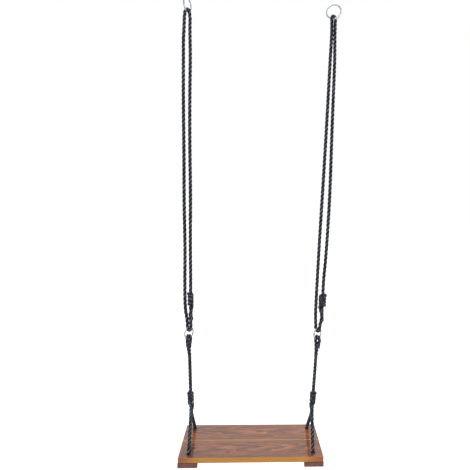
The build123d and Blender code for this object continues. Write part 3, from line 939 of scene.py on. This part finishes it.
def pineMaterial(name, tones, grainTurn, pith, tilt, marks, edges):
    # Growth rings are bands of the distance from the tree's pith, which runs along the grain at a
    # small tilt. Noise stretched along the grain bends them, and a knot pushes them aside.
    material, tree, shader = newMaterial(name)
    spot = addNode(tree, "TexCoord").outputs["Object"]
    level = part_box("front_board")[1].z
    rise = level - pine["thickness"] * mm - pith[2]
    angles = (tilt[0], tilt[1], tilt[2] + grainTurn)
    where = {"Location": (pith[0], pith[1], rise), "Rotation": tuple(math.radians(a) for a in angles)}
    turned = addNode(tree, "Mapping", {"Vector": spot, **where}, vector_type="TEXTURE")
    axes = addNode(tree, "SeparateXYZ", {0: turned})
    y, z = axes.outputs["Y"], axes.outputs["Z"]
    squareY = addNode(tree, "Math", {0: y, 1: y}, operation="MULTIPLY")
    squareZ = addNode(tree, "Math", {0: z, 1: z}, operation="MULTIPLY")
    total = addNode(tree, "Math", {0: squareY, 1: squareZ}, operation="ADD")
    distance = addNode(tree, "Math", {0: total}, operation="SQRT")
    longWays = addNode(tree, "Mapping", {"Vector": turned, "Scale": (pine["longWays"], 1, 1)})
    waves = {"Vector": longWays, "Scale": pine["bendScale"], "Detail": 4.0, "Roughness": 0.6}
    bend = addNode(tree, "TexNoise", waves)
    bent = {0: bend, 1: pine["bend"], 2: distance}
    depth, dark = addNode(tree, "Math", bent, operation="MULTIPLY_ADD"), None
    longer = knotShape["longer"]
    for x, y, radius in marks:
        apart = addNode(tree, "VectorMath", {0: spot, 1: (longer, 1.0, 0.0)}, operation="MULTIPLY")
        middle = (longer * x * mm, y * mm, 0.0)
        away = addNode(tree, "VectorMath", {0: apart, 1: middle}, operation="DISTANCE")
        away = away.outputs["Value"]
        fall = {"From Min": 0.0, "From Max": radius * knotShape["reach"] * mm, "To Min": 1.0}
        fall = {"Value": away, **fall, "To Max": 0.0}
        near = addNode(tree, "MapRange", fall, interpolation_type="SMOOTHERSTEP")
        pushed = {0: near, 1: knotShape["push"], 2: depth}
        depth = addNode(tree, "Math", pushed, operation="MULTIPLY_ADD")
        span = {"From Min": knotShape["core"] * radius * mm, "From Max": radius * mm}
        fall = {"Value": away, **span, "To Min": knotShape["dark"], "To Max": 0.0}
        core = addNode(tree, "MapRange", fall, interpolation_type="SMOOTHSTEP")
        if dark is None:
            dark = core
        else:
            dark = addNode(tree, "Math", {0: dark, 1: core}, operation="MAXIMUM")
    perRing = 1 / (pine["ring"] * mm)
    rings = addNode(tree, "Math", {0: depth, 1: perRing}, operation="MULTIPLY")
    band = addNode(tree, "Math", {0: rings}, operation="FRACT")
    late = {0: band, 1: pine["lateWood"], 2: 0.02}
    line = addNode(tree, "Math", late, operation="MULTIPLY_ADD")
    fibreWays = addNode(tree, "Mapping", {"Vector": turned, "Scale": (pine["fibreWays"], 1, 1)})
    perFibre = 1 / (pine["fibre"] * mm)
    fine = {"Vector": fibreWays, "Scale": perFibre, "Detail": 3.0, "Roughness": 0.7}
    fibre = addNode(tree, "TexNoise", fine).outputs["Fac"]
    wide = {"Vector": longWays, "Scale": pine["broadScale"], "Detail": 2.0, "Roughness": 0.5}
    broad = addNode(tree, "TexNoise", wide)
    streaked = addNode(tree, "Math", {0: fibre, 1: line}, operation="ADD")
    summed = {0: broad, 1: pine["broad"], 2: streaked}
    toned = addNode(tree, "Math", summed, operation="MULTIPLY_ADD")
    scaled = addNode(tree, "Math", {0: toned, 1: pine["toneScale"]}, operation="MULTIPLY")
    colour = addNode(tree, "ValToRGB", {"Fac": scaled})
    setRamp(colour, list(zip(pine["tonePlaces"], tones)))
    shade = colour.outputs["Color"]
    if dark is not None:
        marked = {0: dark, 6: shade, 7: linearColour(pine["knot"])}
        shade = addNode(tree, "Mix", marked, data_type="RGBA").outputs[2]
    if edges:
        shade = softStreaks(tree, spot, shade, fibre)
        shade = sandedEdges(tree, spot, shade, fibre)
    ridges = {0: fibre, 1: pine["fibreRelief"], 2: band}
    relief = addNode(tree, "Math", ridges, operation="MULTIPLY_ADD")
    depths = {"Height": relief, "Distance": pine["relief"] * mm, "Strength": 0.5}
    bump = addNode(tree, "Bump", depths)
    ripple = addNode(tree, "TexNoise", {"Vector": spot, "Scale": pine["rippleScale"], "Detail": 2.0})
    depths = {"Height": ripple, "Distance": pine["ripple"] * mm, "Strength": 0.3}
    orangePeel = addNode(tree, "Bump", depths)
    setInputs(tree, shader, {"Base Color": shade, "Normal": bump, "Coat Normal": orangePeel})
    # varnish lies on the wood, not air, so little light is thrown back from the wood itself
    wood = {"Roughness": pine["roughness"], "IOR": 1.5, "Specular IOR Level": 0.2}
    varnish = {"Coat Weight": 1.0, "Coat Roughness": pine["coatRoughness"], "Coat IOR": 1.46}
    setInputs(tree, shader, {**wood, **varnish})
    return material


def dress(node, material):
    # A CAD node keeps its mesh and gets the material in all its slots.
    for slot in nodes[node].material_slots:
        slot.material = material


for node, grain in boardGrain.items():
    near = [k for k in knots if (k[1] < 0) == (node == "front_board")]
    name = f"varnishedPine_{node}"
    dress(node, pineMaterial(name, pine["board"], 0.0, grain["pith"], grain["tilt"], near, True))
for side, middle in (("left", -216.0), ("right", 216.0)):
    pith = (middle * mm, *cleatGrain["pith"])
    name = f"varnishedPine_{side}_cleat"
    tilt = cleatGrain["tilt"]
    wood = pineMaterial(name, pine["cleat"], cleatGrain["turn"], pith, tilt, [], False)
    dress(f"{side}_cleat", wood)


# Cold-headed wood screws, zinc plated: a fine-grained pale grey metal, a little yellowed.
screwFinish = {"zinc": "c9c6ba", "cloud": "8f8c82", "roughness": 0.34, "patch": 2.0}
screwSteel = zincMaterial("zincPlatedScrewSteel", screwFinish)
for side in ("left", "right"):
    dress(f"{side}_cleat_screws", screwSteel)
print("seat finished")

studio = {
    "floorBelowSeat": 450.0,
    "floorColour": "e6e6e4",
    "floorHalf": 30.0,  # m
    "backdrop": 1.0,  # brightness of the plain wall behind
    "skyHigh": 1.3,  # soft light from above, and from the level of the eye
    "skyLow": 0.3,
    "skyFrom": -0.05,  # heights of a direction, from level 0 to straight up 1
    "skyTo": 0.65,
    "sunStrength": 1.3,
    "sunAngle": 22.0,  # degrees across, so its shadows are soft
    "sunPlace": (-1.6, -2.0, 2.2),
    "sunAim": (0, 0, -1.2),
    "rimPower": 26.0,
    "rimSize": 1.2,
    "rimPlace": (1.8, 1.2, 0.4),
    "rimAim": (0, 0, -1.0),
}
camera = {
    "place": (-23.5, -1424.1, -769.2),
    "lens": 29.31,  # mm on a 36 mm sensor
    "yaw": 0.0508,  # radians
    "pitch": -0.0182,
    "roll": 0.0227,
    "shift": (-0.0745, -0.0745),
}


def plainFloor():
    # A level square, far wider than the view, so many millimetres below the seat's top.
    level = (seatTop - studio["floorBelowSeat"]) * mm
    half = studio["floorHalf"]
    corners = [(-half, -half, level), (half, -half, level), (half, half, level), (-half, half, level)]
    mesh = bpy.data.meshes.new("floor")
    mesh.from_pydata(corners, [], [(0, 1, 2, 3)])
    material, tree, shader = newMaterial("matteWhitePaintedFloor")
    setInputs(tree, shader, {"Base Color": linearColour(studio["floorColour"]), "Roughness": 0.9})
    mesh.materials.append(material)
    floor = bpy.data.objects.new("floor", mesh)
    scene.collection.objects.link(floor)


def softSky():
    # Seen directly it is a plain white wall. As light it fades from high to low, so that gloss
    # and metal have something to reflect.
    world = bpy.data.worlds.new("paleStudio")
    world.use_nodes = True
    tree = world.node_tree
    direction = addNode(tree, "TexCoord").outputs["Generated"]
    height = addNode(tree, "SeparateXYZ", {0: direction}).outputs["Z"]
    span = {"Value": height, "From Min": studio["skyFrom"], "From Max": studio["skyTo"]}
    fade = {**span, "To Min": studio["skyLow"], "To Max": studio["skyHigh"]}
    light = addNode(tree, "MapRange", fade, interpolation_type="SMOOTHSTEP")
    seen = addNode(tree, "LightPath").outputs["Is Camera Ray"]
    strength = addNode(tree, "Mix", {0: seen, 2: light, 3: studio["backdrop"]})
    whole = {"Color": (1.0, 1.0, 1.0, 1.0), "Strength": strength}
    setInputs(tree, tree.nodes["Background"], whole)
    scene.world = world


def addLamp(name, kind, place, aim, settings):
    # A lamp shines along its own -Z, which is turned from its place to its aim.
    data = bpy.data.lights.new(name, kind)
    for setting, value in settings.items():
        setattr(data, setting, value)
    lamp = bpy.data.objects.new(name, data)
    lamp.location = place
    toward = Vector(aim) - Vector(place)
    lamp.rotation_euler = toward.to_track_quat("-Z", "Y").to_euler()
    scene.collection.objects.link(lamp)


def placeCamera():
    # Forward from yaw and pitch, then right and up turned by the roll about it.
    yaw, pitch, roll = camera["yaw"], camera["pitch"], camera["roll"]
    ahead = math.cos(pitch)
    forward = np.array((math.sin(yaw) * ahead, math.cos(yaw) * ahead, -math.sin(pitch)))
    level = np.array((math.cos(yaw), -math.sin(yaw), 0.0))
    right = math.cos(roll) * level + math.sin(roll) * np.cross(level, forward)
    up = np.cross(right, forward)
    data = bpy.data.cameras.new("camera")
    data.sensor_width = 36.0
    data.lens = camera["lens"]
    data.shift_x, data.shift_y = camera["shift"]
    data.clip_end = 100.0
    eye = bpy.data.objects.new("camera", data)
    turn = np.stack([right, up, -forward], 1)
    matrix = np.eye(4)
    matrix[:3, :3] = turn
    matrix[:3, 3] = np.array(camera["place"]) * mm
    eye.matrix_world = Matrix(matrix.tolist())
    scene.collection.objects.link(eye)
    scene.camera = eye


plainFloor()
softSky()
scene.view_settings.view_transform = "Standard"
sun = {"energy": studio["sunStrength"], "angle": math.radians(studio["sunAngle"])}
addLamp("softSun", "SUN", studio["sunPlace"], studio["sunAim"], sun)
rim = {"shape": "DISK", "size": studio["rimSize"], "energy": studio["rimPower"]}
addLamp("rim", "AREA", studio["rimPlace"], studio["rimAim"], rim)
placeCamera()
print("stage set")
